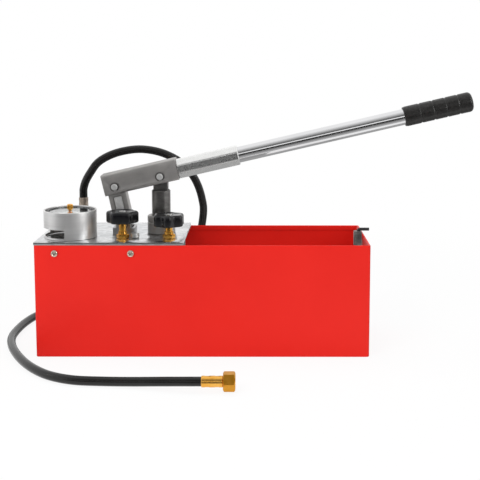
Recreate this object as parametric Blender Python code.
"""Hand pump for pressure testing pipework, modelled piece by piece.

A red water tank carries a pump block under a bright cover plate. A lever on a swinging
link drives the plunger, two star knobs work the needle valves, a gauge sits in a guard
tube, and a hose runs from the block to a swivel nut.

Metres, +Z up. The origin is under the middle of the tank, +X points along the lever
to its grip, and -Y is the front.
"""
import math

import bpy
import bmesh
from mathutils import Vector

# Shared clearances
GAP = 0.0003
OVERRUN = 0.003

# Facets
FINE_SIDES = 28
ROUND_SIDES = 18
SMALL_SIDES = 12
HEX_SIDES = 6
CORNER_STEPS = 3
SMOOTH_ANGLE = math.radians(35.0)
WIRE_RESOLUTION = 2
SPRING_RESOLUTION = 1

# Tank
TANK_LENGTH = 0.500
TANK_DEPTH = 0.170
TANK_HEIGHT = 0.170
TANK_WALL = 0.0015
TANK_CORNER_RADIUS = 0.004
HEM_WIDTH = 0.003
HEM_HEIGHT = 0.008

# Cover plate over the pump end
COVER_RIGHT_MARGIN = 0.0403
COVER_THICKNESS = 0.004
FLANGE_DEPTH = 0.020
FLANGE_THICKNESS = 0.003
FLANGE_RIGHT_INSET = 0.014

# Cover screws through the long tank walls
SCREW_DROP = 0.012
SCREW_INSETS = (0.031, 0.144)
SCREW_HEAD_RADIUS = 0.0048
SCREW_HEAD_HEIGHT = 0.003
SCREW_HEAD_FLAT_RADIUS = 0.0032
SCREW_SHANK_RADIUS = 0.0025
SCREW_SHANK_LENGTH = 0.011

# Pump block under the cover
BLOCK_LEFT_MARGIN = 0.024
BLOCK_RIGHT_MARGIN = 0.008
BLOCK_SIDE_MARGIN = 0.0125
BLOCK_HEIGHT = 0.030
BLOCK_RADIUS = 0.010
WINDOW_LENGTH = 0.060
WINDOW_WIDTH = 0.046
WINDOW_LEFT_MARGIN = 0.042
WINDOW_Y = 0.006
HOLE_RUNOUT = 0.004

# Bolts that clamp the cover to the block: one right of the stop valve, one behind the gland
FRONT_BOLT_OFFSET = (0.0184, 0.002)
REAR_BOLT_LEFT_OFFSET = 0.0177
REAR_BOLT_MARGIN = 0.028
BOLT_HEAD_RADIUS = 0.0065
BOLT_HEAD_HEIGHT = 0.007
BOLT_SHANK_RADIUS = 0.004
BOLT_GRIP_DEPTH = 0.018
BOLT_KEY_FLATS = 0.006
BOLT_KEY_DEPTH = 0.004

# Linkage: a link from the cover carries the lever, the lever drives the plunger
LINK_TO_GUARD = 0.0385
LINK_FOOT_HEIGHT = 0.0147
LINK_LENGTH = 0.0604
LINK_LEAN = math.radians(12.3)
LEVER_ANGLE = math.radians(13.0)
PIN_SPACING = 0.0719
PIN_RADIUS = 0.005
PIN_HEAD_RADIUS = 0.0072
PIN_HEAD_THICKNESS = 0.0018
CLIP_RADIUS = 0.0070
CLIP_THICKNESS = 0.0012
CLIP_GROOVE_DEPTH = 0.0007
PIN_END = 0.0014

# Link
LINK_WIDTH = 0.0274
LINK_FOOT_RADIUS = 0.0125
LINK_THICKNESS = 0.024
LINK_POCKET_WIDTH = 0.015
LINK_POCKET_LENGTH = 0.030
LINK_POCKET_DEPTH = 0.003

# Bracket that the link stands in
BRACKET_LENGTH = 0.034
BRACKET_HEIGHT = 0.0095
BRACKET_RADIUS = 0.003
BRACKET_POCKET_LENGTH = 0.027
EAR_THICKNESS = 0.0055
EAR_WIDTH = 0.022
EAR_SIDE_GAP = 0.0006

# Lever clevis, an upside-down channel with a solid nose
CLEVIS_HEIGHT = 0.033
CLEVIS_WALL = 0.003
CLEVIS_WEB = 0.004
CLEVIS_TAIL = 0.0175
CLEVIS_NOSE = 0.012
CLEVIS_TANG_ROOM = 0.0161
CLEVIS_PIN_HEIGHT = 0.0115
CLEVIS_RADIUS = 0.003
LEVER_LINE = 0.004

# Socket, tube and grip of the lever
SOCKET_WALL = 0.0025
SOCKET_LENGTH = 0.097
SOCKET_SIDES = 8
SOCKET_BORE_DEPTH = 0.050
TUBE_RADIUS = 0.0125
TUBE_WALL = 0.002
TUBE_SHOWN = 0.2625
GRIP_LENGTH = 0.107
GRIP_WALL = 0.003
GRIP_END_WALL = 0.005
GRIP_END_RADIUS = 0.005
GRIP_LIP_DROP = 0.0010
GRIP_LIP_LENGTH = 0.003

# Plunger
PISTON_RADIUS = 0.0145
PISTON_FOOT_ROOM = 0.0167
PISTON_SHOULDER_DROP = 0.0222
PISTON_CHAMFER = 0.0025
TANG_WIDTH = 0.0223
TANG_THICKNESS = 0.018
TANG_ROOT = 0.006
SLOT_REACH_X = 0.0033
SLOT_REACH_Z = 0.0026

# Gland, packing and barrel
GLAND_FLANGE = 0.0015
GLAND_HEIGHT = 0.0275
GLAND_CHAMFER = 0.0015
GLAND_LIP = 0.007
PACKING_THICKNESS = 0.0029
BARREL_CLEARANCE = 0.0008
BARREL_WALL = 0.0047
BARREL_TOP_DROP = 0.016
BARREL_SHARE = 0.6667

# Foot valve with its ball and spring, and the strainer below
FOOT_LENGTH = 0.022
FOOT_SPIGOT = 0.010
FOOT_BORE_RADIUS = 0.0045
FOOT_SEAT_HEIGHT = 0.010
FOOT_CHAMBER_RADIUS = 0.008
FOOT_LIP = 0.003
FOOT_OUTLET_RADIUS = 0.005
BALL_RADIUS = 0.006
SPRING_WIRE_RADIUS = 0.0006
SPRING_COIL_RADIUS = 0.004
SPRING_TURNS = 2
SPRING_STEPS = 8
STRAINER_RADIUS = 0.015
STRAINER_WALL = 0.0012
STRAINER_FLOOR_CLEARANCE = 0.0165
STRAINER_SLOTS = 8
STRAINER_SLOT_WIDTH = 0.003
STRAINER_SLOT_MARGIN_SHARE = 0.16

# Delivery valve, screwed in from below the block
DELIVERY_TO_BARREL = 0.0157
DELIVERY_Y = 0.0
DELIVERY_CHAMBER_RADIUS = 0.0078
DELIVERY_CHAMBER_DEPTH = 0.020
DELIVERY_PORT_RADIUS = 0.004
DELIVERY_PORT_LENGTH = 0.005
PLUG_FLATS = 0.017
PLUG_HEAD_HEIGHT = 0.009
PLUG_SHANK_LENGTH = 0.004

# Needle valves with star knobs: place beside link and plunger, lift, turn of the star
KNOB_TO_GLAND = 0.002
STOP_VALVE_OFFSET = 0.0031
RELEASE_VALVE_OFFSET = 0.0161
STOP_VALVE_LIFT = 0.005
RELEASE_VALVE_LIFT = 0.0
STOP_VALVE_TURN = math.radians(30.0)
RELEASE_VALVE_TURN = math.radians(0.0)
BONNET_FLATS = 0.017
BONNET_HEX_HEIGHT = 0.006
BONNET_COLLAR_WALL = 0.0012
BONNET_COLLAR_HEIGHT = 0.004
BONNET_SHANK_RADIUS = 0.0075
BONNET_SHANK_LENGTH = 0.020
BONNET_BORE_DEPTH = 0.014
BONNET_STEM_CLEARANCE = 0.0004
SPINDLE_RADIUS = 0.0055
SPINDLE_STEM_RADIUS = 0.0029
SPINDLE_STEM_LENGTH = 0.013
SPINDLE_TIP_LENGTH = 0.003
SPINDLE_SPIGOT_RADIUS = 0.004
SPINDLE_SPIGOT_LENGTH = 0.009
SPINDLE_TAP_RADIUS = 0.0020
SPINDLE_TAP_DEPTH = 0.008
KNOB_UNDERSIDE = 0.0187
KNOB_HEIGHT = 0.018
KNOB_RADIUS = 0.0245
KNOB_LOBES = 6
KNOB_LOBE_STEPS = 6
KNOB_LOBE_DEPTH = 0.0042
KNOB_CHAMFER = 0.0035
KNOB_RECESS_CLEARANCE = 0.0007
KNOB_RECESS_DEPTH = 0.0028
CAP_SCREW_RADIUS = 0.0055
CAP_SCREW_HEAD = 0.0022
CAP_SCREW_SHANK_RADIUS = 0.0016

# Gauge and its guard tube
GUARD_LEFT_MARGIN = 0.006
GUARD_FRONT_MARGIN = 0.010
GUARD_RADIUS = 0.040
GUARD_WALL = 0.0022
GUARD_HEIGHT = 0.0421
GUARD_WINDOW_LOW = 0.0036
GUARD_WINDOW_HIGH = 0.016
GUARD_WINDOW_START = math.radians(156.0)
GUARD_WINDOW_SWEEP = math.radians(112.0)
GUARD_WINDOW_STEPS = 8
CASE_SIDE_CLEARANCE = 0.0033
CASE_WALL = 0.0016
CASE_BASE = 0.0017
CASE_LOW = 0.0178
CASE_HEIGHT = 0.0195
CASE_LEDGE_WIDTH = 0.0020
DIAL_DROP = 0.0065
DIAL_THICKNESS = 0.001
DIAL_HOLE_RADIUS = 0.0018
GLASS_THICKNESS = 0.002
GLASS_HOLE_RADIUS = 0.0018
BEZEL_WALL = 0.0012
BEZEL_LIP_WIDTH = 0.0026
BEZEL_LIP_THICKNESS = 0.001
BEZEL_SKIRT = 0.0055
STEM_FLATS = 0.014
STEM_THREAD_RADIUS = 0.0065
STEM_THREAD_LENGTH = 0.018
STEM_FOOT = 0.0012
STEM_SPIGOT_RADIUS = 0.005
STEM_SPIGOT_LENGTH = 0.004
BOURDON_CLEARANCE = 0.0064
BOURDON_TUBE_WIDTH = 0.004
BOURDON_HEIGHT = 0.0045
BOURDON_LEG_WIDTH = 0.006
BOURDON_SWEEP = math.radians(250.0)
BOURDON_STEPS = 10
MOVEMENT_LENGTH = 0.020
MOVEMENT_WIDTH = 0.012
POINTER_SHAFT_RADIUS = 0.0011
POINTER_HUB_RADIUS = 0.003
POINTER_HUB_HEIGHT = 0.0011
POINTER_CLEARANCE = 0.0064
POINTER_TAIL = 0.008
POINTER_ROOT_WIDTH = 0.0024
POINTER_TIP_WIDTH = 0.0008
POINTER_THICKNESS = 0.0006
POINTER_ANGLE = math.radians(225.0)
DRAG_ANGLE = math.radians(215.0)
DRAG_SHAFT_RADIUS = 0.0013
RESET_KNOB_RADIUS = 0.0043
RESET_COLLAR_RADIUS = 0.0030
RESET_COLLAR_HEIGHT = 0.0020
RESET_KNOB_HEIGHT = 0.0080
RESET_KNOB_CHAMFER = 0.0008

# Hose outlet behind the gauge
OUTLET_INSET = 0.051
OUTLET_REAR_MARGIN = 0.035
OUTLET_FLATS = 0.019
OUTLET_HEX_HEIGHT = 0.012
OUTLET_COLLAR_RADIUS = 0.0068
OUTLET_COLLAR_HEIGHT = 0.0094
OUTLET_SHANK_RADIUS = 0.0065
OUTLET_SHANK_LENGTH = 0.018
OUTLET_BORE_RADIUS = 0.003
FERRULE_WALL = 0.0010
FERRULE_LENGTH = 0.0257
FERRULE_GROOVE = 0.0005
FERRULE_RING_SHARES = (1 / 3, 2 / 3)

# Hose
HOSE_RADIUS = 0.0065
HOSE_PITCH = 0.030
HOSE_CURVE_STEPS = 24
HOSE_END_Y = -0.232
HOSE_END_X = 0.0064
HOSE_FLOOR = HOSE_RADIUS + GAP
HOSE_STRAIGHT = 0.012

# Fittings on the free end of the hose
END_FERRULE_WALL = 0.0013
END_FERRULE_LENGTH = 0.0290
NUT_LENGTH = 0.0164
NUT_FLATS = 0.024
NUT_WALL = 0.002
NUT_BORE_DEPTH = 0.0118
NUT_CHAMFER = 0.0008
TAIL_RADIUS = 0.0062
TAIL_FLANGE_CLEARANCE = 0.0004
TAIL_FLANGE_THICKNESS = 0.0020
TAIL_BORE_RADIUS = 0.003

# Lever catch on the right end wall
CATCH_INSET = 0.008
CATCH_Y = 0.016
CATCH_RADIUS = 0.0025
CATCH_ARM_LENGTH = 0.017
CATCH_FLOOR_CLEARANCE = 0.0137
CATCH_ELBOW_RADIUS = 0.003
CATCH_ELBOW_STEPS = 5
GUIDE_RADIUS = 0.0075
GUIDE_RISE = 0.0034
GUIDE_HEIGHT = 0.0224
RING_RADIUS = 0.0055
RING_THICKNESS = 0.004
RING_HEIGHT = 0.002

# Sizes worked out from the values above
BARREL_BORE_RADIUS = PISTON_RADIUS + BARREL_CLEARANCE
BARREL_RADIUS = BARREL_BORE_RADIUS + BARREL_WALL
GLAND_RADIUS = BARREL_RADIUS + GLAND_FLANGE
PACKING_RADIUS = PISTON_RADIUS + GAP + PACKING_THICKNESS
CLEVIS_WIDTH = 2 * (PISTON_RADIUS + GAP + CLEVIS_WALL)
CLEVIS_REACH = PIN_SPACING + CLEVIS_TANG_ROOM + CLEVIS_NOSE
SOCKET_FLATS = 2 * (TUBE_RADIUS + SOCKET_WALL)
GRIP_RADIUS = TUBE_RADIUS + GRIP_WALL
BLOCK_WIDTH = TANK_DEPTH - 2 * BLOCK_SIDE_MARGIN
BONNET_COLLAR_RADIUS = SPINDLE_RADIUS + GAP + BONNET_COLLAR_WALL
BONNET_LOWER_BORE_RADIUS = SPINDLE_STEM_RADIUS + BONNET_STEM_CLEARANCE
KNOB_RECESS_RADIUS = CAP_SCREW_RADIUS + KNOB_RECESS_CLEARANCE
CASE_RADIUS = GUARD_RADIUS - GUARD_WALL - CASE_SIDE_CLEARANCE - BEZEL_WALL - GAP
CASE_BORE_RADIUS = CASE_RADIUS - CASE_WALL
POINTER_LENGTH = CASE_BORE_RADIUS - POINTER_CLEARANCE
BOURDON_RADIUS = CASE_BORE_RADIUS - CASE_LEDGE_WIDTH - BOURDON_CLEARANCE - BOURDON_TUBE_WIDTH / 2
FERRULE_RADIUS = HOSE_RADIUS + FERRULE_WALL
END_FERRULE_RADIUS = HOSE_RADIUS + END_FERRULE_WALL
NUT_BORE_RADIUS = NUT_FLATS / 2 - NUT_WALL
TAIL_FLANGE_RADIUS = NUT_BORE_RADIUS - TAIL_FLANGE_CLEARANCE

# Places worked out from the values above
TANK_LEFT = -TANK_LENGTH / 2
TANK_RIGHT = TANK_LENGTH / 2
TANK_FRONT = -TANK_DEPTH / 2
TANK_REAR = TANK_DEPTH / 2
COVER_LOW = TANK_HEIGHT + GAP
COVER_TOP = COVER_LOW + COVER_THICKNESS
SEAT_ON_COVER = COVER_TOP + GAP
BLOCK_TOP = COVER_LOW - GAP
BLOCK_LOW = BLOCK_TOP - BLOCK_HEIGHT
GAUGE_X = TANK_LEFT + GUARD_LEFT_MARGIN + GUARD_RADIUS
GAUGE_Y = TANK_FRONT + GUARD_FRONT_MARGIN + GUARD_RADIUS
LINK_FOOT = Vector((GAUGE_X + GUARD_RADIUS + LINK_TO_GUARD, 0, COVER_TOP + LINK_FOOT_HEIGHT))
LINK_HEAD = LINK_FOOT + LINK_LENGTH * Vector((-math.sin(LINK_LEAN), 0, math.cos(LINK_LEAN)))
PISTON_PIVOT = LINK_HEAD + PIN_SPACING * Vector((math.cos(LEVER_ANGLE), 0, math.sin(LEVER_ANGLE)))
PISTON_X = PISTON_PIVOT.x
COVER_RIGHT = PISTON_X + COVER_RIGHT_MARGIN
BARREL_TOP = BLOCK_TOP - BARREL_TOP_DROP + GAP
STRAINER_LOW = TANK_WALL + STRAINER_FLOOR_CLEARANCE
BARREL_LENGTH = BARREL_SHARE * (BARREL_TOP - STRAINER_LOW - FOOT_LENGTH - GAP)
BARREL_LOW = BARREL_TOP - BARREL_LENGTH
FOOT_LOW = BARREL_LOW - FOOT_LENGTH
DELIVERY_X = PISTON_X - BARREL_RADIUS - DELIVERY_TO_BARREL
VALVE_Y = -GLAND_RADIUS - KNOB_TO_GLAND - KNOB_RADIUS
STOP_VALVE_X = LINK_FOOT.x + STOP_VALVE_OFFSET
RELEASE_VALVE_X = PISTON_X + RELEASE_VALVE_OFFSET
BOLT_PLACES = (
    (STOP_VALVE_X + FRONT_BOLT_OFFSET[0], VALVE_Y + FRONT_BOLT_OFFSET[1]),
    (PISTON_X - REAR_BOLT_LEFT_OFFSET, TANK_REAR - REAR_BOLT_MARGIN),
)
OUTLET_X = TANK_LEFT + OUTLET_INSET
OUTLET_Y = TANK_REAR - OUTLET_REAR_MARGIN
FERRULE_LOW = SEAT_ON_COVER + OUTLET_HEX_HEIGHT + OUTLET_COLLAR_HEIGHT + GAP
HOSE_START = FERRULE_LOW + FERRULE_LENGTH + GAP
HOSE_END_Z = NUT_FLATS / 2 / math.cos(math.pi / HEX_SIDES) + GAP
CATCH_X = TANK_RIGHT - CATCH_INSET
QUARTER_TURN = math.pi / 2
ALONG_Y = (QUARTER_TURN, 0, 0)
ALONG_X = (QUARTER_TURN, 0, QUARTER_TURN)

# Route of the hose, chosen by hand: outlet, arch, drop behind the tank, floor, free end
HOSE_ROUTE = [
    (OUTLET_X, OUTLET_Y, HOSE_START),
    (OUTLET_X, OUTLET_Y, HOSE_START + HOSE_STRAIGHT),
    (-0.1952, 0.0508, 0.2480),
    (-0.1875, 0.0528, 0.2620),
    (-0.1755, 0.0560, 0.2780),
    (-0.1560, 0.0605, 0.2895),
    (-0.1330, 0.0660, 0.2960),
    (-0.1090, 0.0720, 0.2980),
    (-0.0840, 0.0780, 0.2942),
    (-0.0630, 0.0832, 0.2862),
    (-0.0450, 0.0880, 0.2748),
    (-0.0300, 0.0930, 0.2590),
    (-0.0185, 0.0985, 0.2385),
    (-0.0110, 0.1040, 0.2130),
    (-0.0090, 0.1090, 0.1850),
    (-0.0195, 0.1220, 0.1280),
    (-0.0320, 0.1300, 0.1010),
    (-0.0500, 0.1390, 0.0755),
    (-0.0740, 0.1490, 0.0520),
    (-0.1040, 0.1600, 0.0320),
    (-0.1390, 0.1700, 0.0170),
    (-0.1760, 0.1770, 0.0092),
    (-0.2130, 0.1780, HOSE_FLOOR),
    (-0.2480, 0.1690, HOSE_FLOOR),
    (-0.2770, 0.1490, HOSE_FLOOR),
    (-0.2950, 0.1200, HOSE_FLOOR),
    (-0.3045, 0.0800, HOSE_FLOOR),
    (-0.3080, 0.0340, HOSE_FLOOR),
    (-0.3060, -0.0080, HOSE_FLOOR),
    (-0.2960, -0.0480, HOSE_FLOOR),
    (-0.2790, -0.0890, HOSE_FLOOR),
    (-0.2560, -0.1310, HOSE_FLOOR),
    (-0.2310, -0.1650, HOSE_FLOOR),
    (-0.2040, -0.1900, HOSE_FLOOR),
    (-0.1700, -0.2060, HOSE_FLOOR),
    (-0.1300, -0.2110, 0.0069),
    (-0.0900, -0.2155, 0.0080),
    (-0.0500, -0.2245, 0.0114),
    (-0.0110, HOSE_END_Y, HOSE_END_Z),
    (HOSE_END_X, HOSE_END_Y, HOSE_END_Z),
]


def clear_scene():
    for old in list(bpy.data.objects):
        bpy.data.objects.remove(old, do_unlink=True)


def make_finish(name, colour, roughness, metallic, alpha=1.0):
    """Principled material; the colour is linear red, green, blue."""
    finish = bpy.data.materials.new(name)
    finish.use_nodes = True
    shader = finish.node_tree.nodes["Principled BSDF"]
    shader.inputs["Base Color"].default_value = (*colour, 1.0)
    shader.inputs["Roughness"].default_value = roughness
    shader.inputs["Metallic"].default_value = metallic
    shader.inputs["Alpha"].default_value = alpha
    return finish


def own_finish(name, kind):
    """Each sub-part has its own material, made from one of the shared finishes."""
    colour, roughness, metallic, alpha = FINISHES[kind]
    return make_finish(name + "_finish", colour, roughness, metallic, alpha)


FINISHES = {
    "red_paint": ((0.75, 0.028, 0.020), 0.35, 0.0, 1.0),
    "zinc": ((0.68, 0.69, 0.70), 0.25, 1.0, 1.0),
    "steel": ((0.45, 0.45, 0.45), 0.38, 1.0, 1.0),
    "dark_steel": ((0.06, 0.058, 0.056), 0.35, 1.0, 1.0),
    "cast": ((0.30, 0.30, 0.31), 0.60, 1.0, 1.0),
    "chrome": ((0.80, 0.80, 0.81), 0.12, 1.0, 1.0),
    "brass": ((0.65, 0.38, 0.12), 0.25, 1.0, 1.0),
    "nickel": ((0.45, 0.38, 0.31), 0.30, 1.0, 1.0),
    "black_plastic": ((0.012, 0.012, 0.012), 0.15, 0.0, 1.0),
    "black_paint": ((0.015, 0.015, 0.015), 0.40, 0.0, 1.0),
    "rubber": ((0.020, 0.019, 0.018), 0.60, 0.0, 1.0),
    "glass": ((0.95, 0.97, 0.97), 0.03, 0.0, 0.3),
    "dial_white": ((0.85, 0.85, 0.83), 0.50, 0.0, 1.0),
    "red_mark": ((0.60, 0.02, 0.02), 0.45, 0.0, 1.0),
}


def place_object(name, data, kind, place=(0, 0, 0), turn=(0, 0, 0), parent=None):
    made = bpy.data.objects.new(name, data)
    made.location = place
    made.rotation_euler = turn
    made.parent = parent
    if kind:
        data.materials.append(own_finish(name, kind))
    if kind and isinstance(data, bpy.types.Mesh):
        data.shade_smooth()
        data.set_sharp_from_angle(angle=SMOOTH_ANGLE)
    bpy.context.scene.collection.objects.link(made)
    return made


def axis_empty(name, place, turn):
    """Empty on a joint's axis, which carries the pieces drawn in the joint's own frame."""
    empty = bpy.data.objects.new(name, None)
    empty.location = place
    empty.rotation_euler = turn
    bpy.context.scene.collection.objects.link(empty)
    return empty


def combine(target, other, operation):
    """Cut another solid out of the target, or join it on, and hide that guide."""
    boolean = target.modifiers.new(other.name, "BOOLEAN")
    boolean.operation = operation
    boolean.solver = "EXACT"
    boolean.object = other
    other.hide_render = True
    other.display_type = "WIRE"


def cut(target, other):
    combine(target, other, "DIFFERENCE")


def join(target, other):
    combine(target, other, "UNION")


def mesh_from(bm, name):
    bmesh.ops.recalc_face_normals(bm, faces=bm.faces)
    mesh = bpy.data.meshes.new(name)
    bm.to_mesh(mesh)
    bm.free()
    return mesh


def circle(radius, sides, start=0.0):
    step = 2 * math.pi / sides
    return [(radius * math.cos(start + i * step), radius * math.sin(start + i * step)) for i in range(sides)]


def polygon(flats, sides, start=0.0):
    """Corners of a regular polygon, given the distance across its flats."""
    return circle(flats / 2 / math.cos(math.pi / sides), sides, start)


def rounded_rectangle(low, high, radius):
    """Anticlockwise outline with round corners."""
    outline = []
    centres = (
        (high[0] - radius, high[1] - radius),
        (low[0] + radius, high[1] - radius),
        (low[0] + radius, low[1] + radius),
        (high[0] - radius, low[1] + radius),
    )
    for quarter, (x, y) in enumerate(centres):
        for step in range(CORNER_STEPS + 1):
            angle = QUARTER_TURN * (quarter + step / CORNER_STEPS)
            outline.append((x + radius * math.cos(angle), y + radius * math.sin(angle)))
    return outline


def prism(name, outline, low, high):
    """Outline in X and Y, raised from low to high along Z."""
    bm = bmesh.new()
    rings = [[bm.verts.new((x, y, z)) for x, y in outline] for z in (low, high)]
    skin_rings(bm, rings)
    return mesh_from(bm, name)


def skin_rings(bm, rings):
    """Closed skin through rings of as many points each, with flat ends."""
    count = len(rings[0])
    for lower, upper in zip(rings, rings[1:]):
        for i in range(count):
            j = (i + 1) % count
            bm.faces.new((lower[i], lower[j], upper[j], upper[i]))
    bm.faces.new(rings[0][::-1])
    bm.faces.new(rings[-1])


def box(name, low, high):
    corners = [(low[0], low[1]), (high[0], low[1]), (high[0], high[1]), (low[0], high[1])]
    return prism(name, corners, low[2], high[2])


def lathe(name, profile, sides):
    """Turned solid about Z from (radius, height) points. A profile that starts off the
    axis is a closed loop, so the solid has a bore."""
    bm = bmesh.new()
    rings = []
    for radius, height in profile:
        if radius == 0:
            rings.append([bm.verts.new((0, 0, height))])
        else:
            rings.append([bm.verts.new((x, y, height)) for x, y in circle(radius, sides)])
    pairs = list(zip(rings, rings[1:]))
    if profile[0][0] > 0:
        pairs.append((rings[-1], rings[0]))
    for lower, upper in pairs:
        for i in range(sides):
            j = (i + 1) % sides
            corners = [lower[i % len(lower)], lower[j % len(lower)]]
            corners += [upper[j % len(upper)], upper[i % len(upper)]]
            bm.faces.new(list(dict.fromkeys(corners)))
    return mesh_from(bm, name)


def rod(name, radius, low, high, sides=ROUND_SIDES):
    return lathe(name, [(0, low), (radius, low), (radius, high), (0, high)], sides)


def tube(name, outer, inner, low, high, sides=ROUND_SIDES):
    return lathe(name, [(outer, low), (outer, high), (inner, high), (inner, low)], sides)


def guide(name, data, place=(0, 0, 0), turn=(0, 0, 0), parent=None):
    """Solid that only cuts or joins another and isn't a piece itself."""
    return place_object(name, data, None, place, turn, parent)


def make_tank():
    outer = rounded_rectangle((TANK_LEFT, -TANK_DEPTH / 2), (TANK_RIGHT, TANK_DEPTH / 2), TANK_CORNER_RADIUS)
    tank = place_object("tank", prism("tank", outer, 0, TANK_HEIGHT), "red_paint")
    for name, wall, low, high in (
        ("tank_cavity", TANK_WALL, TANK_WALL, TANK_HEIGHT - HEM_HEIGHT),
        ("tank_mouth", HEM_WIDTH, TANK_HEIGHT - HEM_HEIGHT - OVERRUN, TANK_HEIGHT + OVERRUN),
    ):
        corner = (TANK_RIGHT - wall, TANK_DEPTH / 2 - wall)
        radius = TANK_CORNER_RADIUS - wall
        outline = rounded_rectangle((-corner[0], -corner[1]), corner, radius)
        cut(tank, guide(name, prism(name, outline, low, high)))
    for side, inset in screw_places():
        bore = rod("tank_screw_hole", SCREW_SHANK_RADIUS + GAP, -TANK_WALL - OVERRUN, OVERRUN, SMALL_SIDES)
        cut(tank, guide("tank_screw_hole", bore, wall_place(side, inset), wall_turn(side)))
    return tank


def screw_places():
    return [(side, inset) for side in (-1, 1) for inset in SCREW_INSETS]


def wall_place(side, inset):
    return (TANK_LEFT + inset, side * TANK_DEPTH / 2, TANK_HEIGHT - SCREW_DROP)


def wall_turn(side):
    """Turns local +Z outward through the front (-1) or rear (1) wall."""
    return (-side * QUARTER_TURN, 0, 0)


def make_cover():
    plate = box("cover_plate", (TANK_LEFT, TANK_FRONT, COVER_LOW), (COVER_RIGHT, TANK_REAR, COVER_TOP))
    cover = place_object("cover_plate", plate, "zinc")
    outer = TANK_REAR - HEM_WIDTH - GAP
    for side in (-1, 1):
        near, far = sorted((side * outer, side * (outer - FLANGE_THICKNESS)))
        low = (TANK_LEFT + TANK_CORNER_RADIUS + GAP, near, COVER_LOW - FLANGE_DEPTH)
        high = (COVER_RIGHT - FLANGE_RIGHT_INSET, far, COVER_TOP - COVER_THICKNESS / 2)
        join(cover, guide("cover_flange", box("cover_flange", low, high)))
    hole_radius = SCREW_SHANK_RADIUS + GAP
    hole_end = -SCREW_SHANK_LENGTH - OVERRUN
    for side, inset in screw_places():
        bore = rod("cover_thread", hole_radius, hole_end, -HEM_WIDTH, SMALL_SIDES)
        cut(cover, guide("cover_thread", bore, wall_place(side, inset), wall_turn(side)))
    for name, place, radius, depth in cover_holes():
        drill(cover, "cover_" + name, place, radius + GAP, COVER_LOW - OVERRUN, COVER_TOP + OVERRUN)
    return cover


def cover_holes():
    """What passes down through the cover: name, place, radius and depth below its top."""
    holes = [
        ("barrel_hole", (PISTON_X, 0), BARREL_RADIUS, COVER_TOP - BARREL_LOW),
        ("stop_hole", (STOP_VALVE_X, VALVE_Y), BONNET_SHANK_RADIUS, BONNET_SHANK_LENGTH),
        ("release_hole", (RELEASE_VALVE_X, VALVE_Y), BONNET_SHANK_RADIUS, BONNET_SHANK_LENGTH),
        ("gauge_hole", (GAUGE_X, GAUGE_Y), STEM_THREAD_RADIUS, STEM_THREAD_LENGTH),
        ("outlet_hole", (OUTLET_X, OUTLET_Y), OUTLET_SHANK_RADIUS, OUTLET_SHANK_LENGTH),
    ]
    for number, place in enumerate(BOLT_PLACES):
        holes.append(("bolt_hole_%d" % number, place, BOLT_SHANK_RADIUS, BOLT_GRIP_DEPTH))
    return holes


def drill(target, name, place, radius, low, high):
    """Upright round hole; one as wide as the barrel gets the barrel's facets."""
    sides = FINE_SIDES if radius > BARREL_RADIUS else ROUND_SIDES
    cut(target, guide(name, rod(name, radius, low, high, sides), (place[0], place[1], 0)))


def make_cover_screws():
    profile = [
        (0, -SCREW_SHANK_LENGTH),
        (SCREW_SHANK_RADIUS, -SCREW_SHANK_LENGTH),
        (SCREW_SHANK_RADIUS, GAP),
        (SCREW_HEAD_RADIUS, GAP),
        (SCREW_HEAD_RADIUS, SCREW_HEAD_HEIGHT / 2),
        (SCREW_HEAD_FLAT_RADIUS, SCREW_HEAD_HEIGHT),
        (0, SCREW_HEAD_HEIGHT),
    ]
    names = ("front_left", "front_right", "rear_left", "rear_right")
    for name, (side, inset) in zip(names, screw_places()):
        screw = lathe("cover_screw", profile, SMALL_SIDES)
        place_object("cover_screw_" + name, screw, "nickel", wall_place(side, inset), wall_turn(side))


def make_pump_block():
    left = TANK_LEFT + BLOCK_LEFT_MARGIN
    right = COVER_RIGHT - BLOCK_RIGHT_MARGIN
    outline = rounded_rectangle((left, -BLOCK_WIDTH / 2), (right, BLOCK_WIDTH / 2), BLOCK_RADIUS)
    block = place_object("pump_block", prism("pump_block", outline, BLOCK_LOW, BLOCK_TOP), "cast")
    window_left = left + WINDOW_LEFT_MARGIN
    low = (window_left, WINDOW_Y - WINDOW_WIDTH / 2)
    high = (window_left + WINDOW_LENGTH, WINDOW_Y + WINDOW_WIDTH / 2)
    below = BLOCK_LOW - OVERRUN
    above = BLOCK_TOP + OVERRUN
    window = prism("block_window", rounded_rectangle(low, high, BLOCK_RADIUS), below, above)
    cut(block, guide("block_window", window))
    for name, place, radius, depth in cover_holes():
        drill(block, "block_" + name, place, radius + GAP, COVER_TOP - depth - HOLE_RUNOUT, above)
    delivery = (DELIVERY_X, DELIVERY_Y)
    seat = BLOCK_LOW + DELIVERY_CHAMBER_DEPTH
    drill(block, "delivery_chamber", delivery, DELIVERY_CHAMBER_RADIUS, below, seat)
    drill(block, "delivery_port", delivery, DELIVERY_PORT_RADIUS, seat - OVERRUN, seat + DELIVERY_PORT_LENGTH)
    return block


def make_cover_bolts():
    for end, (x, y) in zip(("front", "rear"), BOLT_PLACES):
        name = "block_bolt_" + end
        head = SEAT_ON_COVER + BOLT_HEAD_HEIGHT
        profile = [
            (0, COVER_TOP - BOLT_GRIP_DEPTH),
            (BOLT_SHANK_RADIUS, COVER_TOP - BOLT_GRIP_DEPTH),
            (BOLT_SHANK_RADIUS, SEAT_ON_COVER),
            (BOLT_HEAD_RADIUS, SEAT_ON_COVER),
            (BOLT_HEAD_RADIUS, head),
            (0, head),
        ]
        place = (x, y, 0)
        bolt = place_object(name, lathe(name, profile, SMALL_SIDES), "zinc", place)
        key = prism(name + "_key", polygon(BOLT_KEY_FLATS, HEX_SIDES), head - BOLT_KEY_DEPTH, head + OVERRUN)
        cut(bolt, guide(name + "_key", key, place))


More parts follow.
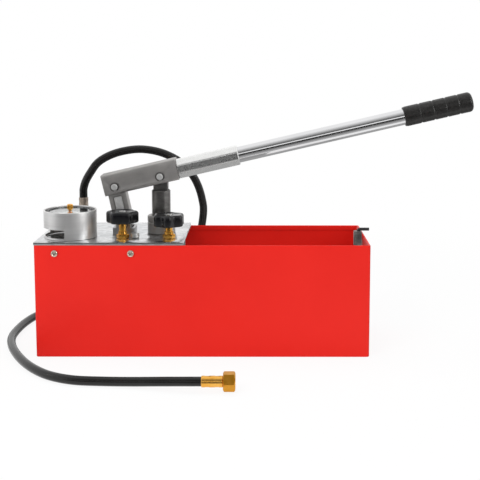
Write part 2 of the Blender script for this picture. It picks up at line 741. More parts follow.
def make_barrel():
    barrel = tube("barrel", BARREL_RADIUS, BARREL_BORE_RADIUS, BARREL_LOW, BARREL_TOP, FINE_SIDES)
    place_object("pump_barrel", barrel, "steel", (PISTON_X, 0, 0))


def make_gland():
    top = SEAT_ON_COVER + GLAND_HEIGHT
    bore = PISTON_RADIUS + GAP
    chamber = PACKING_RADIUS + GAP
    foot = BARREL_TOP + GAP
    profile = [
        (BARREL_RADIUS, foot),
        (BARREL_RADIUS, SEAT_ON_COVER),
        (GLAND_RADIUS, SEAT_ON_COVER),
        (GLAND_RADIUS, top - GLAND_CHAMFER),
        (GLAND_RADIUS - GLAND_CHAMFER, top),
        (bore, top),
        (bore, top - GLAND_LIP),
        (chamber, top - GLAND_LIP),
        (chamber, foot),
    ]
    place_object("gland_nut", lathe("gland_nut", profile, FINE_SIDES), "steel", (PISTON_X, 0, 0))
    packing = tube("packing", PACKING_RADIUS, bore, foot, top - GLAND_LIP - GAP, FINE_SIDES)
    place_object("piston_packing", packing, "rubber", (PISTON_X, 0, 0))


def make_piston():
    shoulder = -PISTON_SHOULDER_DROP
    low = BARREL_LOW + FOOT_SPIGOT + PISTON_FOOT_ROOM - PISTON_PIVOT.z
    profile = [
        (0, low),
        (PISTON_RADIUS - PISTON_CHAMFER, low),
        (PISTON_RADIUS, low + PISTON_CHAMFER),
        (PISTON_RADIUS, shoulder - PISTON_CHAMFER),
        (PISTON_RADIUS - PISTON_CHAMFER, shoulder),
        (0, shoulder),
    ]
    piston = place_object("piston", lathe("piston", profile, FINE_SIDES), "dark_steel", PISTON_PIVOT)
    half = TANG_WIDTH / 2
    outline = arch_outline(half, shoulder - TANG_ROOT)
    tang = prism("piston_tang", outline, -TANG_THICKNESS / 2, TANG_THICKNESS / 2)
    join(piston, guide("piston_tang", tang, PISTON_PIVOT, ALONG_Y))
    reach = PIN_RADIUS + GAP
    oval = [((reach + SLOT_REACH_X) * x, (reach + SLOT_REACH_Z) * y) for x, y in circle(1.0, FINE_SIDES)]
    slot = prism("piston_slot", oval, -TANG_THICKNESS, TANG_THICKNESS)
    cut(piston, guide("piston_slot", slot, PISTON_PIVOT, ALONG_Y))


def arch_outline(half_width, foot):
    """Half circle on top of straight sides down to the foot, about the pivot."""
    arch = [(x, y) for x, y in circle(half_width, ROUND_SIDES) if y > -GAP]
    return [(half_width, foot)] + arch + [(-half_width, foot)]


def make_foot_valve():
    chamber_foot = FOOT_LOW + FOOT_SEAT_HEIGHT + FOOT_CHAMBER_RADIUS - FOOT_BORE_RADIUS
    spigot_top = BARREL_LOW + FOOT_SPIGOT
    spigot = BARREL_BORE_RADIUS - GAP
    profile = [
        (BARREL_RADIUS, FOOT_LOW),
        (BARREL_RADIUS, BARREL_LOW - GAP),
        (spigot, BARREL_LOW - GAP),
        (spigot, spigot_top),
        (FOOT_OUTLET_RADIUS, spigot_top),
        (FOOT_OUTLET_RADIUS, spigot_top - FOOT_LIP),
        (FOOT_CHAMBER_RADIUS, spigot_top - FOOT_LIP),
        (FOOT_CHAMBER_RADIUS, chamber_foot),
        (FOOT_BORE_RADIUS, FOOT_LOW + FOOT_SEAT_HEIGHT),
        (FOOT_BORE_RADIUS, FOOT_LOW),
    ]
    place_object("foot_valve_body", lathe("foot_valve_body", profile, ROUND_SIDES), "brass", (PISTON_X, 0, 0))
    rise = math.sqrt(BALL_RADIUS ** 2 - FOOT_BORE_RADIUS ** 2)
    ball_z = FOOT_LOW + FOOT_SEAT_HEIGHT + rise + GAP
    make_ball("suction_ball", (PISTON_X, 0, ball_z))
    make_spring("suction_spring", (PISTON_X, 0), ball_z + BALL_RADIUS + GAP, spigot_top - FOOT_LIP - GAP)


def make_ball(name, place):
    steps = SMALL_SIDES // 2
    profile = []
    for step in range(steps + 1):
        angle = math.pi * step / steps - QUARTER_TURN
        radius = BALL_RADIUS * math.cos(angle) if 0 < step < steps else 0
        profile.append((radius, BALL_RADIUS * math.sin(angle)))
    place_object(name, lathe(name, profile, SMALL_SIDES), "steel", place)


def make_spring(name, place, low, high):
    """Open coil between two faces."""
    bottom = low + SPRING_WIRE_RADIUS
    top = high - SPRING_WIRE_RADIUS
    count = SPRING_TURNS * SPRING_STEPS
    points = []
    for step in range(count + 1):
        angle = 2 * math.pi * step / SPRING_STEPS
        x = SPRING_COIL_RADIUS * math.cos(angle)
        y = SPRING_COIL_RADIUS * math.sin(angle)
        points.append((x, y, bottom + (top - bottom) * step / count))
    wire_object(name, points, SPRING_WIRE_RADIUS, SPRING_RESOLUTION, "steel", (place[0], place[1], 0))


def wire_object(name, points, radius, resolution, kind, place=(0, 0, 0)):
    """Round tube with capped ends along straight steps between the points."""
    curve = bpy.data.curves.new(name, "CURVE")
    curve.dimensions = "3D"
    curve.bevel_depth = radius
    curve.bevel_resolution = resolution
    curve.use_fill_caps = True
    spline = curve.splines.new("POLY")
    spline.points.add(len(points) - 1)
    for point, spot in zip(spline.points, points):
        point.co = (*spot, 1.0)
    return place_object(name, curve, kind, place)


def make_strainer():
    top = FOOT_LOW - GAP
    low = STRAINER_LOW
    margin = STRAINER_SLOT_MARGIN_SHARE * (top - low)
    bore = STRAINER_RADIUS - STRAINER_WALL
    profile = [
        (0, low),
        (STRAINER_RADIUS, low),
        (STRAINER_RADIUS, top),
        (bore, top),
        (bore, low + STRAINER_WALL),
        (0, low + STRAINER_WALL),
    ]
    shell = lathe("strainer", profile, ROUND_SIDES)
    strainer = place_object("suction_strainer", shell, "zinc", (PISTON_X, 0, 0))
    half = STRAINER_SLOT_WIDTH / 2
    for number in range(STRAINER_SLOTS):
        name = "strainer_slot_%d" % number
        corner_low = (bore - OVERRUN, -half, low + margin)
        corner_high = (STRAINER_RADIUS + OVERRUN, half, top - margin)
        turn = (0, 0, 2 * math.pi * number / STRAINER_SLOTS)
        cut(strainer, guide(name, box(name, corner_low, corner_high), (PISTON_X, 0, 0), turn))


def make_delivery_valve():
    place = (DELIVERY_X, DELIVERY_Y, 0)
    shank_top = BLOCK_LOW + PLUG_SHANK_LENGTH
    hex_top = BLOCK_LOW - GAP
    plug_head = prism("delivery_plug", polygon(PLUG_FLATS, HEX_SIDES), hex_top - PLUG_HEAD_HEIGHT, hex_top)
    plug = place_object("delivery_plug", plug_head, "brass", place)
    shank = rod("plug_shank", DELIVERY_CHAMBER_RADIUS - GAP, hex_top - OVERRUN, shank_top)
    join(plug, guide("plug_shank", shank, place))
    rise = math.sqrt(BALL_RADIUS ** 2 - DELIVERY_PORT_RADIUS ** 2)
    ball_z = BLOCK_LOW + DELIVERY_CHAMBER_DEPTH - rise - GAP
    make_ball("delivery_ball", (place[0], place[1], ball_z))
    make_spring("delivery_spring", place, shank_top + GAP, ball_z - BALL_RADIUS - GAP)


def make_bracket():
    half = BRACKET_LENGTH / 2
    inner = LINK_THICKNESS / 2 + EAR_SIDE_GAP
    side = inner + EAR_THICKNESS
    base_low = SEAT_ON_COVER - LINK_FOOT.z
    base_top = base_low + BRACKET_HEIGHT
    outline = rounded_rectangle((-half, -side), (half, side), BRACKET_RADIUS)
    plate = prism("link_bracket", outline, base_low, base_top)
    bracket = place_object("link_bracket", plate, "zinc", LINK_FOOT)
    ear = arch_outline(EAR_WIDTH / 2, base_low + GAP)
    for front in (-1, 1):
        near, far = sorted((front * inner, front * (inner + EAR_THICKNESS)))
        name = "bracket_ear_%d" % (front + 1)
        join(bracket, guide(name, prism(name, ear, near, far), LINK_FOOT, ALONG_Y))
    reach = BRACKET_POCKET_LENGTH / 2
    pocket = box("bracket_pocket", (-reach, -inner, base_low - OVERRUN), (reach, inner, base_top + OVERRUN))
    cut(bracket, guide("bracket_pocket", pocket, LINK_FOOT))
    bore = rod("bracket_bore", PIN_RADIUS + GAP, -side - OVERRUN, side + OVERRUN)
    cut(bracket, guide("bracket_bore", bore, LINK_FOOT, ALONG_Y))


def make_link(axis):
    foot = [(x, y) for x, y in circle(LINK_FOOT_RADIUS, ROUND_SIDES, math.pi) if y < GAP]
    head = [(x, y + LINK_LENGTH) for x, y in circle(LINK_WIDTH / 2, ROUND_SIDES) if y > -GAP]
    flare = LINK_WIDTH / 2 - LINK_FOOT_RADIUS
    half = LINK_WIDTH / 2
    outline = [(half, LINK_FOOT_RADIUS + flare)] + head + [(-half, LINK_FOOT_RADIUS + flare)] + foot
    body = prism("link", outline, -LINK_THICKNESS / 2, LINK_THICKNESS / 2)
    link = place_object("link", body, "steel", (0, 0, 0), ALONG_Y, axis)
    for front in (-1, 1):
        outer = front * LINK_THICKNESS / 2
        near, far = sorted((outer - front * LINK_POCKET_DEPTH, outer + front * OVERRUN))
        middle = LINK_LENGTH / 2
        low = (-LINK_POCKET_WIDTH / 2, middle - LINK_POCKET_LENGTH / 2)
        high = (LINK_POCKET_WIDTH / 2, middle + LINK_POCKET_LENGTH / 2)
        name = "link_pocket_%d" % (front + 1)
        pocket = prism(name, rounded_rectangle(low, high, BRACKET_RADIUS), near, far)
        cut(link, guide(name, pocket, (0, 0, 0), ALONG_Y, axis))
    for name, height in (("link_lower_bore", 0), ("link_upper_bore", LINK_LENGTH)):
        reach = LINK_THICKNESS / 2 + OVERRUN
        bore = rod(name, PIN_RADIUS + GAP, -reach, reach)
        cut(link, guide(name, bore, (0, 0, height), ALONG_Y, axis))


def make_pin(name, clip_name, half_span, place, parent=None):
    """Pin with a head behind the rear cheek and a clip in a groove at its front end."""
    rear = -half_span - GAP
    front = half_span + GAP
    groove = PIN_RADIUS - CLIP_GROOVE_DEPTH
    clip_back = front + CLIP_THICKNESS + GAP
    profile = [
        (0, rear - PIN_HEAD_THICKNESS),
        (PIN_HEAD_RADIUS, rear - PIN_HEAD_THICKNESS),
        (PIN_HEAD_RADIUS, rear),
        (PIN_RADIUS, rear),
        (PIN_RADIUS, front - GAP),
        (groove, front - GAP),
        (groove, clip_back),
        (PIN_RADIUS, clip_back),
        (PIN_RADIUS, clip_back + PIN_END),
        (0, clip_back + PIN_END),
    ]
    place_object(name, lathe(name, profile, ROUND_SIDES), "zinc", place, ALONG_Y, parent)
    clip = tube(clip_name, CLIP_RADIUS, groove + GAP, front, front + CLIP_THICKNESS)
    place_object(clip_name, clip, "dark_steel", place, ALONG_Y, parent)


def make_clevis(axis):
    low = (-CLEVIS_TAIL, -CLEVIS_WIDTH / 2)
    high = (CLEVIS_REACH, CLEVIS_WIDTH / 2)
    top = CLEVIS_HEIGHT - CLEVIS_PIN_HEIGHT
    side = rounded_rectangle((low[1], -CLEVIS_PIN_HEIGHT), (high[1], top), CLEVIS_RADIUS)
    body = prism("lever_clevis", side, low[0], high[0])
    clevis = place_object("lever_clevis", body, "steel", (0, 0, 0), ALONG_X, axis)
    inner = CLEVIS_WIDTH / 2 - CLEVIS_WALL
    channel_low = (low[0] - OVERRUN, -inner, -CLEVIS_PIN_HEIGHT - OVERRUN)
    channel_high = (high[0] - CLEVIS_NOSE, inner, top - CLEVIS_WEB)
    channel = box("clevis_channel", channel_low, channel_high)
    cut(clevis, guide("clevis_channel", channel, (0, 0, 0), (0, 0, 0), axis))
    for name, along in (("clevis_rear_bore", 0), ("clevis_front_bore", PIN_SPACING)):
        reach = CLEVIS_WIDTH / 2 + OVERRUN
        bore = rod(name, PIN_RADIUS + GAP, -reach, reach)
        cut(clevis, guide(name, bore, (along, 0, 0), ALONG_Y, axis))


def make_lever_arm(axis):
    turn = math.pi / SOCKET_SIDES
    start = CLEVIS_REACH + GAP
    end = CLEVIS_REACH + SOCKET_LENGTH
    body = prism("lever_socket", polygon(SOCKET_FLATS, SOCKET_SIDES, turn), start, end)
    socket = place_object("lever_socket", body, "zinc", (0, 0, LEVER_LINE), ALONG_X, axis)
    bore = rod("socket_bore", TUBE_RADIUS + GAP, end - SOCKET_BORE_DEPTH, end + OVERRUN, FINE_SIDES)
    cut(socket, guide("socket_bore", bore, (0, 0, LEVER_LINE), ALONG_X, axis))
    tube_start = end - SOCKET_BORE_DEPTH + GAP
    grip_start = end + TUBE_SHOWN
    grip_end = grip_start + GRIP_LENGTH
    tube_end = grip_end - GRIP_END_WALL - GAP
    shaft = tube("lever_tube", TUBE_RADIUS, TUBE_RADIUS - TUBE_WALL, tube_start, tube_end, FINE_SIDES)
    place_object("lever_tube", shaft, "chrome", (0, 0, LEVER_LINE), ALONG_X, axis)
    bore_radius = TUBE_RADIUS + GAP
    profile = [
        (bore_radius, grip_start),
        (GRIP_RADIUS - GRIP_LIP_DROP, grip_start),
        (GRIP_RADIUS, grip_start + GRIP_LIP_LENGTH),
    ]
    for step in range(CORNER_STEPS + 1):
        angle = QUARTER_TURN * step / CORNER_STEPS
        radius = GRIP_RADIUS - GRIP_END_RADIUS + GRIP_END_RADIUS * math.cos(angle)
        profile.append((radius, grip_end - GRIP_END_RADIUS + GRIP_END_RADIUS * math.sin(angle)))
    profile = [(0, grip_end - GRIP_END_WALL), (bore_radius, grip_end - GRIP_END_WALL)] + profile
    profile.append((0, grip_end))
    sleeve = lathe("lever_grip", profile, ROUND_SIDES)
    place_object("lever_grip", sleeve, "rubber", (0, 0, LEVER_LINE), ALONG_X, axis)


def make_valve(prefix, x, lift, turn):
    place = (x, VALVE_Y, 0)
    hex_top = SEAT_ON_COVER + BONNET_HEX_HEIGHT
    collar_top = hex_top + BONNET_COLLAR_HEIGHT
    shank_low = COVER_TOP - BONNET_SHANK_LENGTH
    bore_floor = collar_top - BONNET_BORE_DEPTH
    profile = [
        (BONNET_SHANK_RADIUS, shank_low),
        (BONNET_SHANK_RADIUS, hex_top - OVERRUN),
        (BONNET_COLLAR_RADIUS, hex_top - OVERRUN),
        (BONNET_COLLAR_RADIUS, collar_top),
        (SPINDLE_RADIUS + GAP, collar_top),
        (SPINDLE_RADIUS + GAP, bore_floor),
        (BONNET_LOWER_BORE_RADIUS, bore_floor),
        (BONNET_LOWER_BORE_RADIUS, shank_low),
    ]
    hexagon = polygon(BONNET_FLATS, HEX_SIDES)
    bonnet = place_object(prefix + "_bonnet", lathe("bonnet", profile, ROUND_SIDES), "brass", place)
    nut = prism(prefix + "_hex", hexagon, SEAT_ON_COVER, hex_top)
    ring = guide(prefix + "_hex", nut, place)
    through = rod(prefix + "_hex_bore", SPINDLE_RADIUS + GAP, SEAT_ON_COVER - OVERRUN, collar_top + OVERRUN)
    join(bonnet, ring)
    cut(bonnet, guide(prefix + "_hex_bore", through, place))

    underside = COVER_TOP + KNOB_UNDERSIDE
    shoulder = bore_floor + GAP
    stem_low = shoulder - SPINDLE_STEM_LENGTH
    spigot_top = underside + SPINDLE_SPIGOT_LENGTH
    profile = [
        (0, stem_low - SPINDLE_TIP_LENGTH),
        (SPINDLE_STEM_RADIUS, stem_low),
        (SPINDLE_STEM_RADIUS, shoulder),
        (SPINDLE_RADIUS, shoulder),
        (SPINDLE_RADIUS, underside - GAP),
        (SPINDLE_SPIGOT_RADIUS, underside - GAP),
        (SPINDLE_SPIGOT_RADIUS, spigot_top),
        (SPINDLE_TAP_RADIUS, spigot_top),
        (SPINDLE_TAP_RADIUS, spigot_top - SPINDLE_TAP_DEPTH),
        (0, spigot_top - SPINDLE_TAP_DEPTH),
    ]
    raised = (place[0], place[1], lift)
    place_object(prefix + "_spindle", lathe("spindle", profile, ROUND_SIDES), "brass", raised)
    make_knob(prefix, raised, underside, spigot_top, turn)


def make_knob(prefix, place, underside, spigot_top, turn):
    top = underside + KNOB_HEIGHT
    chamfered_share = 1 - KNOB_CHAMFER / KNOB_RADIUS
    outline = star_outline()
    levels = (
        (underside, chamfered_share),
        (underside + KNOB_CHAMFER, 1.0),
        (top - KNOB_CHAMFER, 1.0),
        (top, chamfered_share),
    )
    bm = bmesh.new()
    rings = [[bm.verts.new((x * share, y * share, z)) for x, y in outline] for z, share in levels]
    skin_rings(bm, rings)
    spin = (0, 0, turn)
    knob = place_object(prefix + "_knob", mesh_from(bm, "knob"), "black_plastic", place, spin)
    recess = top - KNOB_RECESS_DEPTH
    for name, radius, low, high in (
        ("_socket", SPINDLE_SPIGOT_RADIUS + GAP, underside - OVERRUN, spigot_top + GAP),
        ("_through", CAP_SCREW_SHANK_RADIUS + GAP, underside, top),
        ("_recess", KNOB_RECESS_RADIUS, recess, top + OVERRUN),
    ):
        cut(knob, guide(prefix + name, rod(prefix + name, radius, low, high), place))
    head_low = recess + GAP
    shank_low = spigot_top - SPINDLE_TAP_DEPTH + GAP
    profile = [
        (0, shank_low),
        (CAP_SCREW_SHANK_RADIUS, shank_low),
        (CAP_SCREW_SHANK_RADIUS, head_low),
        (CAP_SCREW_RADIUS, head_low),
        (CAP_SCREW_RADIUS, head_low + CAP_SCREW_HEAD),
        (0, head_low + CAP_SCREW_HEAD),
    ]
    place_object(prefix + "_knob_screw", lathe("knob_screw", profile, SMALL_SIDES), "zinc", place, spin)


def star_outline():
    """Round lobes with shallow hollows between them."""
    count = KNOB_LOBES * KNOB_LOBE_STEPS
    outline = []
    for step in range(count):
        angle = 2 * math.pi * step / count
        hollow = (1 - math.cos(KNOB_LOBES * angle)) / 2
        radius = KNOB_RADIUS - KNOB_LOBE_DEPTH * hollow
        outline.append((radius * math.sin(angle), -radius * math.cos(angle)))
    return outline


def make_guard():
    inner = GUARD_RADIUS - GUARD_WALL
    top = COVER_TOP + GUARD_HEIGHT
    shell = tube("gauge_guard", GUARD_RADIUS, inner, SEAT_ON_COVER, top, FINE_SIDES)
    guard = place_object("gauge_guard", shell, "steel", (GAUGE_X, GAUGE_Y, 0))
    reach = GUARD_RADIUS + OVERRUN
    fan = [(0, 0)]
    for step in range(GUARD_WINDOW_STEPS + 1):
        angle = GUARD_WINDOW_START + GUARD_WINDOW_SWEEP * step / GUARD_WINDOW_STEPS
        fan.append((reach * math.cos(angle), reach * math.sin(angle)))
    window = prism("guard_window", fan, COVER_TOP + GUARD_WINDOW_LOW, COVER_TOP + GUARD_WINDOW_HIGH)
    cut(guard, guide("guard_window", window, (GAUGE_X, GAUGE_Y, 0)))


def make_gauge_case():
    low = COVER_TOP + CASE_LOW
    top = low + CASE_HEIGHT
    ledge = top - DIAL_DROP
    wide = CASE_BORE_RADIUS
    narrow = wide - CASE_LEDGE_WIDTH
    spigot = STEM_SPIGOT_RADIUS + GAP
    profile = [
        (spigot, low),
        (CASE_RADIUS, low),
        (CASE_RADIUS, top),
        (wide, top),
        (wide, ledge),
        (narrow, ledge),
        (narrow, low + CASE_BASE),
        (spigot, low + CASE_BASE),
    ]
    centre = (GAUGE_X, GAUGE_Y, 0)
    place_object("gauge_case", lathe("gauge_case", profile, FINE_SIDES), "black_paint", centre)
    dial_low = ledge + GAP
    dial = tube("gauge_dial", wide - GAP, DIAL_HOLE_RADIUS, dial_low, dial_low + DIAL_THICKNESS, FINE_SIDES)
    place_object("gauge_dial", dial, "dial_white", centre)
    glass_low = top + GAP
    glass_top = glass_low + GLASS_THICKNESS
    bezel_inner = CASE_RADIUS + GAP
    glass = tube("gauge_glass", CASE_RADIUS, GLASS_HOLE_RADIUS, glass_low, glass_top, FINE_SIDES)
    place_object("gauge_glass", glass, "glass", centre)
    lip_low = glass_top + GAP
    bezel_outer = bezel_inner + BEZEL_WALL
    profile = [
        (bezel_inner, top - BEZEL_SKIRT),
        (bezel_outer, top - BEZEL_SKIRT),
        (bezel_outer, lip_low + BEZEL_LIP_THICKNESS),
        (bezel_outer - BEZEL_LIP_WIDTH, lip_low + BEZEL_LIP_THICKNESS),
        (bezel_outer - BEZEL_LIP_WIDTH, lip_low),
        (bezel_inner, lip_low),
    ]
    place_object("gauge_bezel", lathe("gauge_bezel", profile, FINE_SIDES), "black_paint", centre)
    make_gauge_inside(centre, low, dial_low, glass_low, glass_top)


def make_gauge_inside(centre, case_low, dial_low, glass_low, glass_top):
    stem_low = COVER_TOP - STEM_THREAD_LENGTH
    spigot_top = case_low + STEM_SPIGOT_LENGTH
    hex_low = COVER_TOP + STEM_FOOT
    hex_top = case_low - GAP
    profile = [
        (0, stem_low),
        (STEM_THREAD_RADIUS, stem_low),
        (STEM_THREAD_RADIUS, hex_top - OVERRUN),
        (STEM_SPIGOT_RADIUS, hex_top - OVERRUN),
        (STEM_SPIGOT_RADIUS, spigot_top),
        (0, spigot_top),
    ]
    stem = place_object("gauge_stem", lathe("gauge_stem", profile, ROUND_SIDES), "brass", centre)
    flats = prism("stem_hex", polygon(STEM_FLATS, HEX_SIDES), hex_low, hex_top)
    join(stem, guide("stem_hex", flats, centre))

    bourdon_low = spigot_top + GAP
    bourdon_top = bourdon_low + BOURDON_HEIGHT
    bourdon = prism("bourdon_tube", bourdon_outline(), bourdon_low, bourdon_top)
    place_object("bourdon_tube", bourdon, "brass", centre)
    half = (MOVEMENT_LENGTH / 2, MOVEMENT_WIDTH / 2)
    outline = rounded_rectangle((-half[0], -half[1]), half, BOURDON_TUBE_WIDTH / 2)
    movement = prism("gauge_movement", outline, bourdon_top + GAP, dial_low - GAP)
    plate = place_object("gauge_movement", movement, "brass", centre)
    pivot_floor = bourdon_top + GAP + DIAL_THICKNESS
    drill(plate, "movement_pivot", centre, POINTER_SHAFT_RADIUS + GAP, pivot_floor, dial_low)

    dial_top = dial_low + DIAL_THICKNESS
    hand_low = dial_top + GAP
    reach = pivot_floor + GAP
    shaft = POINTER_SHAFT_RADIUS
    make_hand("gauge_pointer", centre, reach, hand_low, shaft, "black_paint", POINTER_ANGLE)
    drag_low = hand_low + POINTER_HUB_HEIGHT + GAP
    collar_low = glass_top + GAP
    make_hand("drag_pointer", centre, collar_low, drag_low, DRAG_SHAFT_RADIUS, "red_mark", DRAG_ANGLE)
    collar_top = collar_low + RESET_COLLAR_HEIGHT
    knob_top = collar_top + RESET_KNOB_HEIGHT
    profile = [
        (0, collar_low + GAP),
        (RESET_COLLAR_RADIUS, collar_low + GAP),
        (RESET_COLLAR_RADIUS, collar_top),
        (RESET_KNOB_RADIUS, collar_top),
        (RESET_KNOB_RADIUS, knob_top - RESET_KNOB_CHAMFER),
        (RESET_KNOB_RADIUS - RESET_KNOB_CHAMFER, knob_top),
        (0, knob_top),
    ]
    place_object("reset_knob", lathe("reset_knob", profile, SMALL_SIDES), "brass", centre)


def make_hand(name, centre, shaft_end, low, shaft_radius, kind, angle):
    """Pointer with a hub, and a shaft that reaches down or up to shaft_end."""
    top = low + POINTER_HUB_HEIGHT
    place = (centre[0], centre[1], low)
    root = POINTER_ROOT_WIDTH / 2
    tip = POINTER_TIP_WIDTH / 2
    blade = [(-POINTER_TAIL, -root), (POINTER_LENGTH, -tip), (POINTER_LENGTH, tip), (-POINTER_TAIL, root)]
    hand = place_object(name, prism(name, blade, 0, POINTER_THICKNESS), kind, place, (0, 0, angle))
    hub = rod(name + "_hub", POINTER_HUB_RADIUS, 0, top - low, SMALL_SIDES)
    join(hand, guide(name + "_hub", hub, place))
    middle = POINTER_THICKNESS / 2
    span = sorted((shaft_end - low, middle))
    shaft = rod(name + "_shaft", shaft_radius, span[0], span[1], SMALL_SIDES)
    join(hand, guide(name + "_shaft", shaft, place))


def bourdon_outline():
    """C-shaped spring with a leg from the centre to its fixed end."""
    inner = BOURDON_RADIUS - BOURDON_TUBE_WIDTH / 2
    outer = BOURDON_RADIUS + BOURDON_TUBE_WIDTH / 2
    half = BOURDON_LEG_WIDTH / 2
    start = math.asin(half / inner)
    angles = [start + BOURDON_SWEEP * step / BOURDON_STEPS for step in range(BOURDON_STEPS + 1)]
    outline = [(-half, -half), (outer, -half)]
    outline += [(outer * math.cos(a), outer * math.sin(a)) for a in angles]
    outline += [(inner * math.cos(a), inner * math.sin(a)) for a in reversed(angles)]
    return outline + [(-half, half)]


def make_outlet():
    place = (OUTLET_X, OUTLET_Y, 0)
    hex_top = SEAT_ON_COVER + OUTLET_HEX_HEIGHT
    collar_top = hex_top + OUTLET_COLLAR_HEIGHT
    shank_low = COVER_TOP - OUTLET_SHANK_LENGTH
    profile = [
        (OUTLET_SHANK_RADIUS, shank_low),
        (OUTLET_SHANK_RADIUS, SEAT_ON_COVER + GAP),
        (OUTLET_COLLAR_RADIUS, SEAT_ON_COVER + GAP),
        (OUTLET_COLLAR_RADIUS, collar_top),
        (OUTLET_BORE_RADIUS, collar_top),
        (OUTLET_BORE_RADIUS, shank_low),
    ]
    fitting = place_object("hose_outlet", lathe("hose_outlet", profile, ROUND_SIDES), "brass", place)
    nut = prism("outlet_hex", polygon(OUTLET_FLATS, HEX_SIDES), SEAT_ON_COVER, hex_top)
    bore = rod("outlet_bore", OUTLET_BORE_RADIUS, SEAT_ON_COVER - OVERRUN, hex_top + OVERRUN)
    join(fitting, guide("outlet_hex", nut, place))
    cut(fitting, guide("outlet_bore", bore, place))
    ferrule = ferrule_mesh("inlet_ferrule", FERRULE_RADIUS, FERRULE_LENGTH)
    place_object("inlet_ferrule", ferrule, "nickel", (OUTLET_X, OUTLET_Y, FERRULE_LOW))


def ferrule_mesh(name, radius, length):
    """Crimped sleeve with two shallow rings pressed in and a small bore."""
    waist = radius - FERRULE_GROOVE
    outer = [(radius, 0)]
    for share in FERRULE_RING_SHARES:
        middle = length * share
        outer.append((radius, middle - FERRULE_GROOVE - FERRULE_GROOVE))
        outer.append((waist, middle - FERRULE_GROOVE))
        outer.append((waist, middle + FERRULE_GROOVE))
        outer.append((radius, middle + FERRULE_GROOVE + FERRULE_GROOVE))
    outer.append((radius, length))
    return lathe(name, outer + [(OUTLET_BORE_RADIUS, length), (OUTLET_BORE_RADIUS, 0)], ROUND_SIDES)


def smooth_route():
    """Smooth curve through the route, read off at an even pitch. Its first and last
    stretches stay straight, square to the fittings."""
    route = [Vector(point) for point in HOSE_ROUTE]
    dense = []
    for before, here, there, after in zip(route, route[1:], route[2:], route[3:]):
        for step in range(HOSE_CURVE_STEPS):
            t = step / HOSE_CURVE_STEPS
            lead = (there - before) * (t - 2 * t ** 2 + t ** 3)
            trail = (after - here) * (t ** 3 - t ** 2)
            body = 2 * here * (1 - 3 * t ** 2 + 2 * t ** 3) + 2 * there * (3 * t ** 2 - 2 * t ** 3)
            dense.append((lead + trail + body) / 2)
    dense.append(route[-2])
    travelled = [0.0]
    for here, there in zip(dense, dense[1:]):
        travelled.append(travelled[-1] + (there - here).length)
    count = round(travelled[-1] / HOSE_PITCH)
    points = [route[0]]
    index = 0
    for step in range(count + 1):
        target = travelled[-1] * step / count
        while index < len(dense) - 2 and travelled[index + 1] < target:
            index += 1
        share = (target - travelled[index]) / (travelled[index + 1] - travelled[index])
        points.append(dense[index].lerp(dense[index + 1], min(1.0, share)))
    return points + [route[-1]]


def make_hose():
    wire_object("hose", smooth_route(), HOSE_RADIUS, WIRE_RESOLUTION, "rubber")


def make_hose_end():
    start = (HOSE_END_X + GAP, HOSE_END_Y, HOSE_END_Z)
    ferrule = ferrule_mesh("end_ferrule", END_FERRULE_RADIUS, END_FERRULE_LENGTH)
    place_object("end_ferrule", ferrule, "brass", start, ALONG_X)
    back = END_FERRULE_LENGTH + GAP
    nut_face = back + NUT_LENGTH
    floor = nut_face - NUT_BORE_DEPTH
    hexagon = polygon(NUT_FLATS, HEX_SIDES, 0)
    chamfer_share = 1 - NUT_CHAMFER / (NUT_FLATS / 2)
    levels = (
        (back, chamfer_share),
        (back + NUT_CHAMFER, 1.0),
        (nut_face - NUT_CHAMFER, 1.0),
        (nut_face, chamfer_share),
    )
    bm = bmesh.new()
    rings = [[bm.verts.new((x * share, y * share, z)) for x, y in hexagon] for z, share in levels]
    skin_rings(bm, rings)
    nut = place_object("swivel_nut", mesh_from(bm, "swivel_nut"), "brass", start, ALONG_X)
    socket = rod("nut_socket", NUT_BORE_RADIUS, floor, nut_face + OVERRUN)
    cut(nut, guide("nut_socket", socket, start, ALONG_X))
    neck = rod("nut_neck", TAIL_RADIUS + GAP, back - OVERRUN, floor + OVERRUN)
    cut(nut, guide("nut_neck", neck, start, ALONG_X))
    flange = floor + GAP
    profile = [
        (TAIL_RADIUS, back),
        (TAIL_RADIUS, flange),
        (TAIL_FLANGE_RADIUS, flange),
        (TAIL_FLANGE_RADIUS, flange + TAIL_FLANGE_THICKNESS),
        (TAIL_BORE_RADIUS, flange + TAIL_FLANGE_THICKNESS),
        (TAIL_BORE_RADIUS, back),
    ]
    place_object("hose_tail", lathe("hose_tail", profile, ROUND_SIDES), "brass", start, ALONG_X)


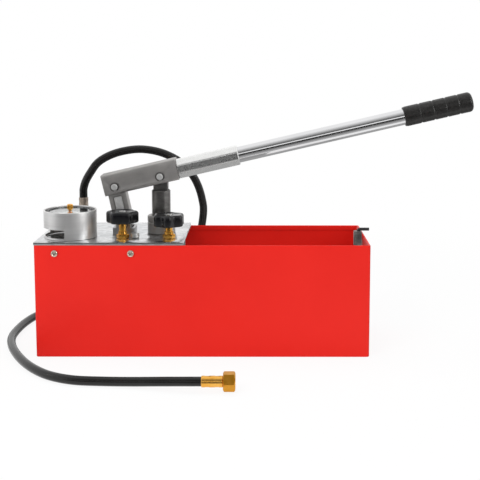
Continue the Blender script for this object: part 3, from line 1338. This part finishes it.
def make_catch():
    guide_top = TANK_HEIGHT + GUIDE_RISE
    back = TANK_RIGHT - HEM_WIDTH - GAP - CATCH_X
    round_side = [(-x, -y) for x, y in circle(GUIDE_RADIUS, ROUND_SIDES, -QUARTER_TURN) if x > -GAP]
    outline = [(back, GUIDE_RADIUS)] + round_side + [(back, -GUIDE_RADIUS)]
    axis = (CATCH_X, CATCH_Y, 0)
    guide_low = guide_top - GUIDE_HEIGHT
    block = prism("catch_guide", outline, guide_low, guide_top)
    sleeve = place_object("catch_guide", block, "dark_steel", axis)
    bore = CATCH_RADIUS + GAP
    drill(sleeve, "guide_bore", axis, bore, guide_low - OVERRUN, guide_top + OVERRUN)
    arm_z = guide_top + GAP + CATCH_RADIUS
    stem_low = TANK_WALL + CATCH_FLOOR_CLEARANCE
    points = [(0, 0, stem_low - arm_z)]
    for step in range(CATCH_ELBOW_STEPS + 1):
        angle = QUARTER_TURN * step / CATCH_ELBOW_STEPS
        x = CATCH_ELBOW_RADIUS * (1 - math.cos(angle))
        z = CATCH_ELBOW_RADIUS * (math.sin(angle) - 1)
        points.append((x, 0, z))
    points.append((CATCH_ARM_LENGTH, 0, 0))
    place = (CATCH_X, CATCH_Y, arm_z)
    wire_object("catch_rod", points, CATCH_RADIUS, WIRE_RESOLUTION, "black_paint", place)
    ring_low = stem_low + RING_HEIGHT
    ring_top = ring_low + RING_THICKNESS
    ring = tube("catch_ring", RING_RADIUS, bore, ring_low, ring_top, SMALL_SIDES)
    place_object("catch_ring", ring, "black_paint", axis)


def main():
    clear_scene()
    make_tank()
    make_cover()
    make_cover_screws()
    make_pump_block()
    make_cover_bolts()
    make_barrel()
    make_gland()
    make_piston()
    make_foot_valve()
    make_strainer()
    make_delivery_valve()
    make_bracket()
    link_axis = axis_empty("link_axis", LINK_FOOT, (0, -LINK_LEAN, 0))
    make_link(link_axis)
    bracket_half = LINK_THICKNESS / 2 + EAR_SIDE_GAP + EAR_THICKNESS
    make_pin("link_pin_lower", "link_clip_lower", bracket_half, LINK_FOOT)
    lever_axis = axis_empty("lever_axis", LINK_HEAD, (0, -LEVER_ANGLE, 0))
    make_pin("link_pin_upper", "link_clip_upper", CLEVIS_WIDTH / 2, (0, 0, 0), lever_axis)
    make_pin("piston_pin", "piston_clip", CLEVIS_WIDTH / 2, (PIN_SPACING, 0, 0), lever_axis)
    make_clevis(lever_axis)
    make_lever_arm(lever_axis)
    make_valve("stop_valve", STOP_VALVE_X, STOP_VALVE_LIFT, STOP_VALVE_TURN)
    make_valve("release_valve", RELEASE_VALVE_X, RELEASE_VALVE_LIFT, RELEASE_VALVE_TURN)
    make_guard()
    make_gauge_case()
    make_outlet()
    make_hose()
    make_hose_end()
    make_catch()


main()
